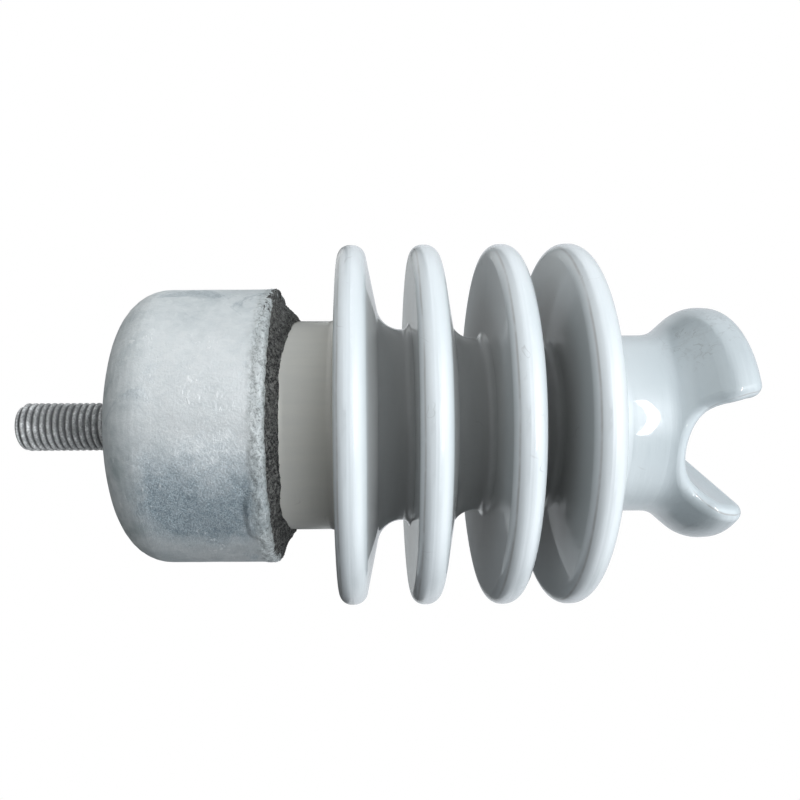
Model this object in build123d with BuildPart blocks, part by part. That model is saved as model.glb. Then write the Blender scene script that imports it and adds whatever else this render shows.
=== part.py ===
"""Short porcelain line post insulator with a cemented iron base, a base stud and a saddle head.

The part stands on its base. The origin is the centre of the seat face of the base, +Z runs up the
axis to the head, and the conductor groove in the head runs along Y. Every size is in millimetres.
"""

from math import cos, radians, sin, tan
import os

from build123d import *

os.makedirs("parts", exist_ok=True)

# ---- Driving dimensions ------------------------------------------------------------------------

# Stud, 3/4"-10 UNC, drawn at its major diameter
stud_d = 19.05
stud_reach = 46.0  # free length below the seat face
stud_end_gap = 2.0  # from the inner end of the stud to the top of the cap floor
stud_lead = 2.0  # chamfer at each end
stud_relief_depth = 1.0  # thread relief just above the seat face
stud_relief_length = 2.0
thread_clearance = 0.05

# Base cap, galvanised cast iron
cap_height = 57.4
cement_thickness = 6.8  # from the bare foot to the bore of the cap
cap_corner = 16.5  # outer rounding between seat face and wall
cap_rim_round = 2.0
cap_floor = 17.0
cap_wall = 5.5  # thinnest wall, behind a key groove
cap_mouth_wall = 3.5  # wall at the rim, under the exposed cement
cap_mouth_depth = 6.0
cap_bore_chamfer = 4.0  # between floor and wall of the bore
key_count = 3
key_height = 2.0  # how far a key rib stands into the cement
key_width = 3.0
stud_hole_chamfer = 1.0

# Coats, bonded pieces and the gaps that keep their faces apart
bond_gap = 0.08
coat = 0.4  # bitumen coats
seal_coat_thickness = 0.8  # moisture-proof coat over the exposed cement
cushion = 2.0  # cork disc under the porcelain foot
grit = 1.2  # fired grit band on the foot

# Porcelain body
foot_d = 82.4
foot_round = 3.0
grit_margin = 5.0  # bare foot below the grit band
grit_cover = 5.24  # cement between the top of the grit band and the level of the rim
cement_rise = 6.2  # cement collar above the rim, measured on the porcelain
lower_neck = 17.1  # bare neck between the cement collar and the lowest shed
shed_pitches = (27.3, 29.0, 24.9)  # from each shed to the next
shed_d = 139.7  # 5-1/2"
shed_rim = 9.8
shed_slope = 11.6  # fall of the upper face, degrees
drip_round = 4.5  # lower rim rounding
rim_round = 5.2  # upper rim rounding
core_d = (75.6, 68.0, 63.0)  # core above each of the lower sheds
under_round = 2.8  # rounding between the core and the next underside
neck_under_round = 3.5
valley_round = 10.5  # largest rounding between an upper face and the core
valley_share = 0.98  # most of a short core that this rounding may take up

# Head with tie neck, flare and conductor groove
neck_d = 69.6
neck_valley_round = 8.0
neck_height = 42.0  # from the underside of the top shed to the foot of the flare
flare_d = 91.2
flare_rise = 12.6
flare_in_round = 14.0
flare_out_round = 11.0
head_rise = 12.1  # from the top of the flare to the top of the head, 9" above the seat
head_taper = 0.8
head_round = 6.0
groove_r = 20.4
groove_depth = 23.0
groove_draft = 7.0  # degrees
groove_edge_round = 3.6

# ---- Derived sizes -----------------------------------------------------------------------------

stud_r = stud_d / 2
stud_hole_r = stud_r + thread_clearance
stud_grip = cap_floor - stud_end_gap
foot_r = foot_d / 2
cap_bore_r = foot_r + cement_thickness
cap_r = cap_bore_r + cap_wall
mouth_r = cap_r - cap_mouth_wall
mouth_z = cap_height - cap_mouth_depth
foot_z = cap_floor + cushion + 2 * bond_gap
foot_face_r = foot_r + bond_gap  # inner face of everything bonded round the foot
grit_z = foot_z + grit_margin
grit_top = cap_height - grit_cover
grit_face_r = foot_face_r + grit
collar_z = cap_height + cement_rise
shed_r = shed_d / 2
first_shed = collar_z + lower_neck
shed_z = [first_shed + sum(shed_pitches[:i]) for i in range(len(shed_pitches) + 1)]
neck_r = neck_d / 2
neck_top = shed_z[-1] + neck_height
flare_r = flare_d / 2
flare_top = neck_top + flare_rise
head_height = flare_top + head_rise
groove_floor = head_height - groove_depth
groove_centre = groove_floor + groove_r
groove_half = groove_r * cos(radians(groove_draft))  # where the round floor meets the side walls
groove_spring = groove_centre - groove_r * sin(radians(groove_draft))
groove_above = head_height + groove_r  # the cut runs out past the head
groove_mouth = groove_half + (groove_above - groove_spring) * tan(radians(groove_draft))


def cap_bore(inset, floor):
    """Corners (radius, height) of the keyed bore from floor to rim, drawn in radially by inset."""
    low = floor + cap_bore_chamfer
    high = mouth_z - (mouth_r - cap_bore_r)
    pitch = (high - low) / key_count
    r = cap_bore_r - inset
    corners = [(r - cap_bore_chamfer, floor), (r, low)]
    for i in range(key_count):
        middle = low + pitch * (i + 0.5)
        crest, root = key_width / 2, key_width / 2 + key_height
        corners += [(r, middle - root), (r - key_height, middle - crest)]
        corners += [(r - key_height, middle + crest), (r, middle + root)]
    return corners + [(r, high), (mouth_r - inset, mouth_z), (mouth_r - inset, cap_height)]


def shed_corners():
    """Corners (radius, height, rounding) of the four sheds, from the foot to the tie neck."""
    cores = [core / 2 for core in core_d] + [neck_r]
    half_turn = tan(radians(90 - shed_slope) / 2)
    corners = [(foot_r, shed_z[0], neck_under_round)]
    for i, (z, core) in enumerate(zip(shed_z, cores)):
        valley_z = z + shed_rim + (shed_r - core) * tan(radians(shed_slope))
        corners += [(shed_r, z, drip_round), (shed_r, z + shed_rim, rim_round)]
        if i == len(core_d):
            return corners + [(core, valley_z, neck_valley_round)]
        flat = shed_z[i + 1] - valley_z - under_round
        corners.append((core, valley_z, min(valley_round, valley_share * flat / half_turn)))
        corners.append((core, shed_z[i + 1], under_round))


# ---- Porcelain body: foot, four sheds, tie neck and saddle head, fired in one piece ------------

body_corners = [(0, foot_z, 0), (foot_r, foot_z, foot_round)] + shed_corners()
body_corners += [
    (neck_r, neck_top, flare_in_round),
    (flare_r, flare_top, flare_out_round),
    (flare_r - head_taper, head_height, head_round),
    (0, head_height, 0),
]

with BuildPart() as porcelain_body:
    with BuildSketch(Plane.XZ):
        with BuildLine():
            FilletPolyline(
                [(r, z) for r, z, _ in body_corners],
                radius=[rounding for _, _, rounding in body_corners],
                close=True,
            )
        make_face()
    revolve(axis=Axis.Z)
    with BuildSketch(Plane.XZ):
        with BuildLine():
            ThreePointArc(
                (-groove_half, groove_spring), (0, groove_floor), (groove_half, groove_spring)
            )
            Polyline(
                (groove_half, groove_spring),
                (groove_mouth, groove_above),
                (-groove_mouth, groove_above),
                (-groove_half, groove_spring),
            )
        make_face()
    extrude(amount=shed_r, both=True, mode=Mode.SUBTRACT)
    cut_edges = porcelain_body.edges(Select.LAST)
    side_curves = cut_edges.filter_by(GeomType.BSPLINE)
    top_lines = cut_edges.filter_by(GeomType.LINE).group_by(Axis.Z)[-1]
    fillet(side_curves + top_lines, groove_edge_round)

# ---- Grit band fired onto the foot, and the bitumen coat over it -------------------------------

with BuildPart() as grit_band:
    with BuildSketch(Plane.XY.offset(grit_z)):
        Circle(foot_face_r + grit)
        Circle(foot_face_r, mode=Mode.SUBTRACT)
    extrude(amount=grit_top - grit_z)

with BuildPart() as foot_coat:
    with BuildSketch(Plane.XY.offset(grit_z)):
        Circle(grit_face_r + bond_gap + coat)
        Circle(grit_face_r + bond_gap, mode=Mode.SUBTRACT)
    extrude(amount=grit_top - grit_z)

# ---- Cork cushion between the foot and the floor of the cap ------------------------------------

with BuildPart() as cushion_disc:
    with BuildSketch(Plane.XY.offset(cap_floor + bond_gap)):
        Circle(foot_r - foot_round)
    extrude(amount=cushion)

# ---- Base cap: cast iron cup with key ribs inside and a tapped hole in its floor ---------------

cap_bore_corners = cap_bore(0, cap_floor)

with BuildPart() as base_cap:
    with BuildSketch(Plane.XZ):
        with BuildLine():
            FilletPolyline(
                [(0, 0), (cap_r, 0), (cap_r, cap_height), (0, cap_height)],
                radius=[0, cap_corner, cap_rim_round, 0],
                close=True,
            )
        make_face()
        with BuildLine():
            Polyline((0, cap_floor), *cap_bore_corners, (0, cap_height), close=True)
        make_face(mode=Mode.SUBTRACT)
    revolve(axis=Axis.Z)
    with BuildSketch():
        Circle(stud_hole_r)
    extrude(amount=cap_floor, mode=Mode.SUBTRACT)
    hole_rims = base_cap.edges(Select.LAST).filter_by(GeomType.CIRCLE)
    chamfer(hole_rims, stud_hole_chamfer)

# ---- Bitumen coat on the bore of the cap -------------------------------------------------------

coat_outer = cap_bore(bond_gap, cap_floor + bond_gap)
coat_inner = cap_bore(bond_gap + coat, cap_floor + bond_gap)

with BuildPart() as cap_coat:
    with BuildSketch(Plane.XZ):
        with BuildLine():
            Polyline(*coat_outer, *reversed(coat_inner), close=True)
        make_face()
    revolve(axis=Axis.Z)

# ---- Portland cement between foot and cap, with a sloped collar above the rim ------------------

cement_outer = cap_bore(2 * bond_gap + coat, cap_floor + bond_gap)[:-1]
cement_rim_r = mouth_r - 2 * bond_gap - coat
band_face_r = grit_face_r + coat + 2 * bond_gap
cement_inner = [
    (foot_face_r, collar_z - seal_coat_thickness),
    (foot_face_r, grit_top + bond_gap),
    (band_face_r, grit_top + bond_gap),
    (band_face_r, grit_z - bond_gap),
    (foot_face_r, grit_z - bond_gap),
    (foot_face_r, cap_floor + bond_gap),
]

with BuildPart() as cement_joint:
    with BuildSketch(Plane.XZ):
        with BuildLine():
            Polyline(
                *cement_outer,
                (cement_rim_r, cap_height - seal_coat_thickness),
                *cement_inner,
                close=True,
            )
        make_face()
    revolve(axis=Axis.Z)

# ---- Moisture-proof coat over the exposed cement -----------------------------------------------

seal_under = seal_coat_thickness - bond_gap

with BuildPart() as seal_coat:
    with BuildSketch(Plane.XZ):
        with BuildLine():
            Polyline(
                (cement_rim_r, cap_height - seal_under),
                (cement_rim_r, cap_height),
                (foot_face_r, collar_z),
                (foot_face_r, collar_z - seal_under),
                close=True,
            )
        make_face()
    revolve(axis=Axis.Z)

# ---- Base stud, screwed into the floor of the cap ----------------------------------------------

relief_r = stud_r - stud_relief_depth
stud_corners = [
    (0, -stud_reach),
    (stud_r - stud_lead, -stud_reach),
    (stud_r, -stud_reach + stud_lead),
    (stud_r, 0),
    (relief_r, 0),
    (relief_r, stud_relief_length),
    (stud_r, stud_relief_length),
    (stud_r, stud_grip - stud_lead),
    (stud_r - stud_lead, stud_grip),
    (0, stud_grip),
]

with BuildPart() as stud:
    with BuildSketch(Plane.XZ):
        with BuildLine():
            Polyline(*stud_corners, close=True)
        make_face()
    revolve(axis=Axis.Z)

# ---- Labels and files --------------------------------------------------------------------------

porcelain_body.part.label = "porcelain_body"
export_step(porcelain_body.part, "parts/porcelain_body.step")

grit_band.part.label = "grit_band"
export_step(grit_band.part, "parts/grit_band.step")

foot_coat.part.label = "foot_coat"
export_step(foot_coat.part, "parts/foot_coat.step")

cushion_disc.part.label = "cushion_disc"
export_step(cushion_disc.part, "parts/cushion_disc.step")

base_cap.part.label = "base_cap"
export_step(base_cap.part, "parts/base_cap.step")

cap_coat.part.label = "cap_coat"
export_step(cap_coat.part, "parts/cap_coat.step")

cement_joint.part.label = "cement_joint"
export_step(cement_joint.part, "parts/cement_joint.step")

seal_coat.part.label = "seal_coat"
export_step(seal_coat.part, "parts/seal_coat.step")

stud.part.label = "stud"
export_step(stud.part, "parts/stud.step")
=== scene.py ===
"""Looks of a short porcelain line post insulator: glaze, galvanised base, sealed joint and thread.

Laid out as a Blender add-on and run as a script. Lengths are metres unless a name says otherwise.
"""

from itertools import accumulate
from math import cos, radians, sin, tau

import bpy
from bpy.props import FloatProperty, FloatVectorProperty, IntProperty, PointerProperty
from mathutils import Matrix, Vector


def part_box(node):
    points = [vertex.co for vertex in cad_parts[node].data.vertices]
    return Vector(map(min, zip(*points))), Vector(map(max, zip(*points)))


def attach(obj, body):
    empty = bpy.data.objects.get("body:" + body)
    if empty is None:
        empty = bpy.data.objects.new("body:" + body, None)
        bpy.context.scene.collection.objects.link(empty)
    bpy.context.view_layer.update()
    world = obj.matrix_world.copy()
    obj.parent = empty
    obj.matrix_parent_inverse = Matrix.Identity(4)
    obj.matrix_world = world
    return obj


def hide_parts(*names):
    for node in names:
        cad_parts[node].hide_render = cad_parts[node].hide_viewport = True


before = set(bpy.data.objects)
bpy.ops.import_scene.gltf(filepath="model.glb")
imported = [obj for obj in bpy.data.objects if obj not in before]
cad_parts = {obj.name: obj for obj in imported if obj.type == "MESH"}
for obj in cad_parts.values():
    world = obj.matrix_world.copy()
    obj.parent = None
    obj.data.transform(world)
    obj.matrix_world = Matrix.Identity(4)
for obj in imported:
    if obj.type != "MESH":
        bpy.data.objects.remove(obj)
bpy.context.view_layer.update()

bl_info = {
    "name": "Line Post Insulator",
    "version": (1, 0, 0),
    "blender": (4, 5, 0),
    "location": "3D View > Sidebar > Insulator",
    "description": "Finishes and detail pieces of a porcelain line post insulator",
    "category": "Object",
}

MM = 0.001
BODY = "root"
CAP_LOW, CAP_HIGH = (Vector(corner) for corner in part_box("base_cap"))
SEAL_HIGH = Vector(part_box("seal_coat")[1])
GRIT_LOW, GRIT_HIGH = (Vector(corner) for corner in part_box("grit_band"))
STUD_LOW, STUD_HIGH = (Vector(corner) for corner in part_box("stud"))

# Directions of the portrait view: the part lies on its side in it, with the head to the right
VIEW_TURN = radians(-18.2)
TOWARD_VIEWER = Vector((sin(VIEW_TURN), -cos(VIEW_TURN), 0.0))
VIEW_UP = Vector((-cos(VIEW_TURN), -sin(VIEW_TURN), 0.0))
ALONG_AXIS = Vector((0.0, 0.0, 1.0))


# ---- Sizes and colours ---------------------------------------------------------------------------


def length(name, description, default, **limits):
    """A length in metres, shown in the sidebar."""
    return FloatProperty(
        name=name, description=description, default=default, unit="LENGTH", precision=5, **limits
    )


def share(name, description, default):
    """A plain number from nothing to all."""
    return FloatProperty(
        name=name, description=description, default=default, min=0.0, max=1.0, subtype="FACTOR"
    )


def amount(name, description, default):
    """A plain number that isn't negative."""
    return FloatProperty(name=name, description=description, default=default, min=0.0)


def colour(name, description, default):
    """A linear colour."""
    return FloatVectorProperty(
        name=name, description=description, default=(*default, 1.0), size=4, subtype="COLOR",
        min=0.0, max=1.0,
    )


class InsulatorGlaze(bpy.types.PropertyGroup):
    """Glazed porcelain body."""

    body: colour("Glaze", "Pale blue-grey of the glaze", (0.60, 0.635, 0.645))
    # This tone also serves as painted shade over the head, above the last shed.
    thin: colour("Thin glaze", "Tone where the glaze is thin", (0.50, 0.55, 0.57))
    warm: colour("Bare neck", "Warm tone of the neck under the lowest shed", (0.77, 0.755, 0.70))
    # Painted shade: the waist between the sheds is darkened where little light reaches it.
    core: colour("Core", "Dimmer tone of the waist between two sheds", (0.55, 0.56, 0.555))
    # Painted shade on the upper faces between the sheds, where the shed above shades them.
    upper_face_shade: colour("Dust", "Tone of the dust on the upper faces between sheds", (0.45, 0.455, 0.45))
    # Painted light: this paler tone brightens the rims of the sheds.
    edge: colour("Edge", "Paler tone of the glaze over the drip edge of a shed", (0.80, 0.84, 0.86))
    line: colour("Drip line", "Brown line on the drip corner of each shed", (0.20, 0.15, 0.12))
    pit: colour("Pits", "Tone of the pinholes", (0.12, 0.11, 0.10))
    rub: colour("Rub", "Tone of the rubbed patch on the head", (0.26, 0.265, 0.265))
    scrape: colour("Scrapes", "Tone of the thin scrapes", (0.30, 0.29, 0.28))
    lower_neck: length("Lower neck", "Neck between the collar and the lowest shed", 17.1 * MM)
    groove_floor: length("Groove floor", "Height of the floor of the groove", 205.6 * MM)
    groove_radius: length("Groove radius", "Radius of the floor of the groove", 20.4 * MM)
    groove_lean: FloatProperty(
        name="Groove lean", description="How far the wall leans out over its height", default=0.123
    )
    groove_mouth: length("Groove mouth", "From the wall to the line on the mouth", 2.7 * MM)
    drip_rise: length("Drip line rise", "Height of the brown line over an underside", 1.4 * MM)
    drip_width: length("Drip line width", "Width of the brown line", 0.5 * MM)
    roughness: share("Roughness", "Roughness of the glaze", 0.34)


class InsulatorCap(bpy.types.PropertyGroup):
    """Galvanised cast iron base."""

    around: IntProperty(name="Around", description="Mesh columns around", default=400, min=12)
    rows: IntProperty(name="Rows", description="Mesh rows along the outline", default=225, min=12)
    corner: length("Corner", "Rounding between seat face and wall", 16.5 * MM)
    rim_round: length("Rim round", "Rounding of the rim", 2.0 * MM)
    mouth_wall: length("Mouth wall", "Wall at the rim", 3.5 * MM)
    wall: length("Wall", "Thinnest wall", 5.5 * MM)
    floor: length("Floor", "Thickness of the floor", 17.0 * MM)
    mouth_depth: length("Mouth depth", "Depth of the wider mouth", 6.0 * MM)
    casting: length("Casting waves", "Height of the slow waves of the casting", 0.35 * MM)
    skin: length("Zinc skin", "Height of the fine lumps in the zinc", 0.10 * MM)
    dross: length("Dross", "Height of the zinc dross at the rim", 0.5 * MM)
    dross_depth: length("Dross depth", "How far the dross reaches below the rim", 6.5 * MM)
    zinc: colour("Zinc", "Silver grey of the zinc", (0.75, 0.785, 0.79))
    mottle: colour("Mottle", "Greyer tone of the cloudy zinc", (0.44, 0.50, 0.52))
    stain: colour("Stain", "Tone of the slow stains", (0.36, 0.44, 0.45))
    foot: colour("Foot", "Tone of the grime round the seat", (0.27, 0.335, 0.34))
    dull: colour("Dull zinc", "Blue-grey of the dull zinc", (0.09, 0.135, 0.165))
    dull_grain: colour("Dull grain", "Lighter grains in the dull zinc", (0.36, 0.445, 0.49))
    dull_cloud: colour("Dull cloud", "Clouds in the dull zinc", (0.13, 0.18, 0.215))
    crystal_dark: colour("Dark crystal", "Darkest crystal of the spangle", (0.32, 0.35, 0.37))
    crystal_light: colour("Light crystal", "Lightest crystal of the spangle", (0.9, 0.9, 0.9))
    sparkle: colour("Sparkle", "Tone of the fine bright grains", (0.9, 0.92, 0.92))
    # Scuffed zinc and painted highlight: this wiped tone also brightens the middle of the cap that
    # faces the viewer.
    wiped: colour("Wiped", "Tone of the zinc that was wiped bright", (0.80, 0.82, 0.82))
    pale_stroke: colour("Pale strokes", "Tone of the fresh scratches", (0.95, 0.96, 0.96))
    deep_stroke: colour("Deep strokes", "Tone of the old scratches", (0.24, 0.28, 0.29))
    rim: colour("Rim", "Tone of the dross at the rim", (0.36, 0.385, 0.38))
    hollow: colour("Hollows", "Tone between the lumps of dross", (0.16, 0.17, 0.165))
    crest: colour("Crests", "Tone of the tops of the dross", (0.72, 0.74, 0.73))


class InsulatorSeal(bpy.types.PropertyGroup):
    """Coated cement at the mouth of the base."""

    around: IntProperty(name="Around", description="Mesh columns around", default=420, min=12)
    rows: IntProperty(name="Rows", description="Mesh rows along the outline", default=60, min=12)
    lumps: length("Lumps", "Height of the lumps in the coat", 1.0 * MM)
    grit: length("Grit", "Height of the fine roughness", 0.5 * MM)
    grain: length("Grain", "Size of the largest sand grain", 0.62 * MM)
    grains: amount("Grain density", "Grains to the square metre", 1.1e6)
    dark: colour("Dark", "Tone in the hollows of the coat", (0.016, 0.016, 0.017))
    light: colour("Light", "Tone of the lightest grains", (0.31, 0.31, 0.295))
    ash: colour("Ash", "Tone of the ashen patches", (0.20, 0.20, 0.19))


class InsulatorStud(bpy.types.PropertyGroup):
    """Threaded base stud."""

    around: IntProperty(name="Around", description="Mesh columns around", default=120, min=12)
    rows: IntProperty(name="Rows", description="Mesh rows along the outline", default=420, min=12)
    pitch: length("Pitch", "Distance from thread to thread", 2.54 * MM)
    depth: length("Depth", "Depth of the thread", 1.1 * MM)
    lead: length("Lead", "Rounded lead at the end", 2.2 * MM)
    steel: colour("Steel", "Worn tone of the crests", (0.90, 0.90, 0.89))
    hollow: colour("Roots", "Dark tone of the roots", (0.12, 0.122, 0.125))
    cloud: colour("Cloud", "Duller tone of the flanks", (0.26, 0.265, 0.265))
    grain: colour("Grain", "Tone of the dark grains", (0.15, 0.15, 0.155))
    worn: colour("Worn", "Tone of the worn patch", (0.42, 0.42, 0.41))


class InsulatorStudio(bpy.types.PropertyGroup):
    """Camera, floor and light."""

    distance: length("Camera distance", "From the axis of the part to the camera", 0.291)
    height: length("Camera height", "Height of the camera over the seat face", 0.0916)
    lens: FloatProperty(name="Lens", description="Focal length", default=32.74, unit="CAMERA")
    roll: FloatProperty(
        name="Roll", description="Turn about the line of sight", default=radians(0.4),
        subtype="ANGLE",
    )
    shift_x: FloatProperty(name="Shift across", description="Shift of the lens", default=0.0408)
    shift_y: FloatProperty(name="Shift up", description="Shift of the lens", default=0.031)
    key_power: FloatProperty(name="Key light", description="Watts", default=0.50, unit="POWER")
    glow: amount("Glow", "Brightness of the broad glow round the key light", 2.9)
    fill: amount("Fill", "Brightness of the glow from below in the portrait", 1.8)
    sky: amount("Sky", "Brightness overhead", 0.55)
    walls: amount("Walls", "Brightness at the sides", 0.50)
    backdrop: amount("Backdrop", "Brightness behind the part", 0.75)
    high_side: amount("High side", "Share of the walls above in the portrait", 2.5)
    low_side: amount("Low side", "Share of the walls below in the portrait", 0.03)
    front: amount("Front", "Brightness behind the camera", 0.26)
    gamma: amount("Gamma", "Tone curve of the view", 0.88)


class Insulator(bpy.types.PropertyGroup):
    """All the settings of the insulator."""

    glaze: PointerProperty(type=InsulatorGlaze)
    cap: PointerProperty(type=InsulatorCap)
    seal: PointerProperty(type=InsulatorSeal)
    stud: PointerProperty(type=InsulatorStud)
    studio: PointerProperty(type=InsulatorStudio)


# ---- Building node trees -------------------------------------------------------------------------


class Graph:
    """Adds nodes to a tree; every input is either a value or the socket that feeds it."""

    def __init__(self, tree):
        self.tree = tree

    def node(self, kind, inputs=None, **settings):
        node = self.tree.nodes.new(kind)
        for name, value in settings.items():
            setattr(node, name, value)
        for name, value in (inputs or {}).items():
            if isinstance(value, bpy.types.NodeSocket):
                self.tree.links.new(value, node.inputs[name])
            else:
                node.inputs[name].default_value = value
        return node

    def math(self, operation, *values, clamp=False):
        inputs = dict(enumerate(values))
        return self.node("ShaderNodeMath", inputs, operation=operation, use_clamp=clamp).outputs[0]

    def vector(self, operation, *values, **named):
        inputs = dict(enumerate(values)) | named
        node = self.node("ShaderNodeVectorMath", inputs, operation=operation)
        return node.outputs["Value" if operation in {"LENGTH", "DISTANCE", "DOT_PRODUCT"} else 0]

    def split(self, vector):
        return self.node("ShaderNodeSeparateXYZ", {0: vector}).outputs

    def combine(self, x=0.0, y=0.0, z=0.0):
        return self.node("ShaderNodeCombineXYZ", {0: x, 1: y, 2: z}).outputs[0]

    def remap(self, value, low, high, to_low=0.0, to_high=1.0, smooth=True):
        style = "SMOOTHSTEP" if smooth else "LINEAR"
        inputs = dict(enumerate((value, low, high, to_low, to_high)))
        return self.node("ShaderNodeMapRange", inputs, interpolation_type=style).outputs[0]

    def noise(self, place, scale, detail=3.0, roughness=0.5, distortion=0.0, seed=0.0):
        inputs = {
            "Vector": place, "W": seed, "Scale": scale, "Detail": detail,
            "Roughness": roughness, "Distortion": distortion,
        }
        return self.node("ShaderNodeTexNoise", inputs, noise_dimensions="4D").outputs[0]

    def blend(self, mask, first, second, mode="MIX"):
        inputs = {0: mask, 6: first, 7: second}
        return self.node(
            "ShaderNodeMix", inputs, data_type="RGBA", blend_type=mode
        ).outputs[2]

    def wash(self, tone, mask, amount, colour):
        """Lays a colour over a tone by that share of the mask."""
        return self.blend(self.math("MULTIPLY", mask, amount), tone, colour)

    def slide(self, mask, first, second):
        return self.node("ShaderNodeMix", {0: mask, 2: first, 3: second}).outputs[0]

    def band(self, value, start, full, fade, end):
        """Rises to one between start and full, and falls back between fade and end."""
        rising = self.remap(value, start, full)
        return self.math("MULTIPLY", rising, self.remap(value, fade, end, 1.0, 0.0))

    def about_axis(self, place):
        """The vector away from the Z axis, its length, and the height."""
        x, y, z = self.split(place)
        spoke = self.combine(x, y, 0.0)
        return spoke, self.vector("LENGTH", spoke), z

    def object_place(self):
        return self.node("ShaderNodeTexCoord").outputs["Object"]

    def group(self, tree, **inputs):
        kind = "ShaderNodeGroup" if tree.bl_idname == "ShaderNodeTree" else "GeometryNodeGroup"
        named = {name.replace("_", " ").capitalize(): value for name, value in inputs.items()}
        return self.node(kind, named, node_tree=tree).outputs


SOCKET_KINDS = {float: "NodeSocketFloat", int: "NodeSocketInt", tuple: "NodeSocketVector"}


def new_tree(name, kind, inputs, output, output_kind):
    """An empty tree; an input is given by its default, or by its kind of socket if it has none."""
    tree = bpy.data.node_groups.new(name, kind)
    for label, default in inputs.items():
        bare = isinstance(default, str)
        socket_kind = default if bare else SOCKET_KINDS[type(default)]
        socket = tree.interface.new_socket(label, in_out="INPUT", socket_type=socket_kind)
        if not bare:
            socket.default_value = default
    tree.interface.new_socket(output, in_out="OUTPUT", socket_type=output_kind)
    graph = Graph(tree)
    source = graph.node("NodeGroupInput").outputs
    sink = graph.node("NodeGroupOutput")
    return graph, source, sink


def mask_tree(name, inputs):
    """An empty shader group for one mask; returns also the place on the object."""
    graph, source, sink = new_tree(name, "ShaderNodeTree", inputs, "Mask", "NodeSocketFloat")
    return graph, source, sink, graph.object_place()


def shape_tree(name, inputs):
    """An empty geometry tree that starts from an outline and ends in one material."""
    ends = {"Geometry": "NodeSocketGeometry", "Around": 64, "Rows": 64}
    inputs = ends | inputs | {"Material": "NodeSocketMaterial"}
    return new_tree(name, "GeometryNodeTree", inputs, "Geometry", "NodeSocketGeometry")


def connect(graph, sink, value):
    """Feeds the output of a group, and returns its tree."""
    graph.tree.links.new(value, sink.inputs[0])
    return graph.tree


def shared_group(name, build):
    """The node group of that name, built on first use."""
    return bpy.data.node_groups.get(name) or build(name)


# ---- Shader groups -------------------------------------------------------------------------------

STROKE_TURN = {"Rotation": (0.5, 0.3, 0.4), "Scale": (0.22, 1.0, 1.0)}


def build_ragged_patch(name):
    """A patch with a ragged edge round a centre."""
    inputs = {
        "Centre": (0.0, 0.0, 0.0), "Reach": (0.02, 0.02, 0.02), "Softness": 0.5,
        "Raggedness": 0.6, "Scale": 120.0,
    }
    graph, source, sink, place = mask_tree(name, inputs)
    offset = graph.vector("SUBTRACT", place, source["Centre"])
    away = graph.vector("LENGTH", graph.vector("DIVIDE", offset, source["Reach"]))
    ripple = graph.math("SUBTRACT", graph.noise(place, source["Scale"], 5.0, 0.62), 0.5)
    away = graph.math("MULTIPLY_ADD", ripple, source["Raggedness"], away)
    inner = graph.math("SUBTRACT", 1.0, source["Softness"])
    outer = graph.math("ADD", 1.0, source["Softness"])
    mask = graph.remap(away, inner, outer, 1.0, 0.0)
    return connect(graph, sink, mask)


def build_speckle(name):
    """Grains of a given size, dark to light."""
    inputs = {"Scale": 900.0, "Low": 0.4, "High": 0.6, "Seed": 0.0}
    graph, source, sink, place = mask_tree(name, inputs)
    grain = graph.noise(place, source["Scale"], 4.0, 0.6, seed=source["Seed"])
    return connect(graph, sink, graph.remap(grain, source["Low"], source["High"]))


def build_turning_marks(name):
    """Rings round the axis that fade in and out, as a turning tool leaves them."""
    inputs = {"Rings": 700.0, "Wander": 1.5, "Low": 0.35, "High": 0.7}
    graph, source, sink, place = mask_tree(name, inputs)
    spoke, _, z = graph.about_axis(place)
    spoke = graph.vector("SCALE", graph.vector("NORMALIZE", spoke), Scale=source["Wander"])
    height = graph.combine(0.0, 0.0, graph.math("MULTIPLY", z, source["Rings"]))
    grain = graph.noise(graph.vector("ADD", spoke, height), 1.0, 3.0, 0.6)
    return connect(graph, sink, graph.remap(grain, source["Low"], source["High"]))


def build_edge_line(name):
    """A thin line round the axis at a height, outside a radius, that thickens and thins."""
    inputs = {"Height": 0.1, "Radius": 0.06, "Width": 0.001}
    graph, source, sink, place = mask_tree(name, inputs)
    _, radius, z = graph.about_axis(place)
    wander = graph.math("SUBTRACT", graph.noise(place, 45.0, 2.0, 0.5), 0.5)
    wander = graph.math("MULTIPLY", wander, graph.math("MULTIPLY", source["Width"], 1.2))
    above = graph.math("SUBTRACT", z, source["Height"])
    gap = graph.math("ABSOLUTE", graph.math("ADD", above, wander))
    line = graph.remap(gap, 0.0, source["Width"], 1.0, 0.0)
    outside = graph.math("GREATER_THAN", radius, source["Radius"])
    strength = graph.remap(graph.noise(place, 90.0, 3.0, 0.6), 0.3, 0.6, 0.25, 1.0)
    mask = graph.math("MULTIPLY", graph.math("MULTIPLY", line, outside), strength)
    return connect(graph, sink, mask)


def build_hairlines(name):
    """Fine curved scratches that come in patches."""
    inputs = {"Scale": 60.0, "Width": 0.01, "Cover": 0.5, "Seed": 0.0}
    graph, source, sink, place = mask_tree(name, inputs)
    bent = graph.noise(place, source["Scale"], 2.0, 0.5, 1.4, source["Seed"])
    gap = graph.math("ABSOLUTE", graph.math("SUBTRACT", bent, 0.5))
    line = graph.remap(gap, 0.0, source["Width"], 1.0, 0.0)
    spread = graph.noise(place, graph.math("MULTIPLY", source["Scale"], 1.7), 2.0, 0.5, 0.0, 9.0)
    patches = graph.remap(spread, source["Cover"], graph.math("ADD", source["Cover"], 0.08))
    return connect(graph, sink, graph.math("MULTIPLY", line, patches))


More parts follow.
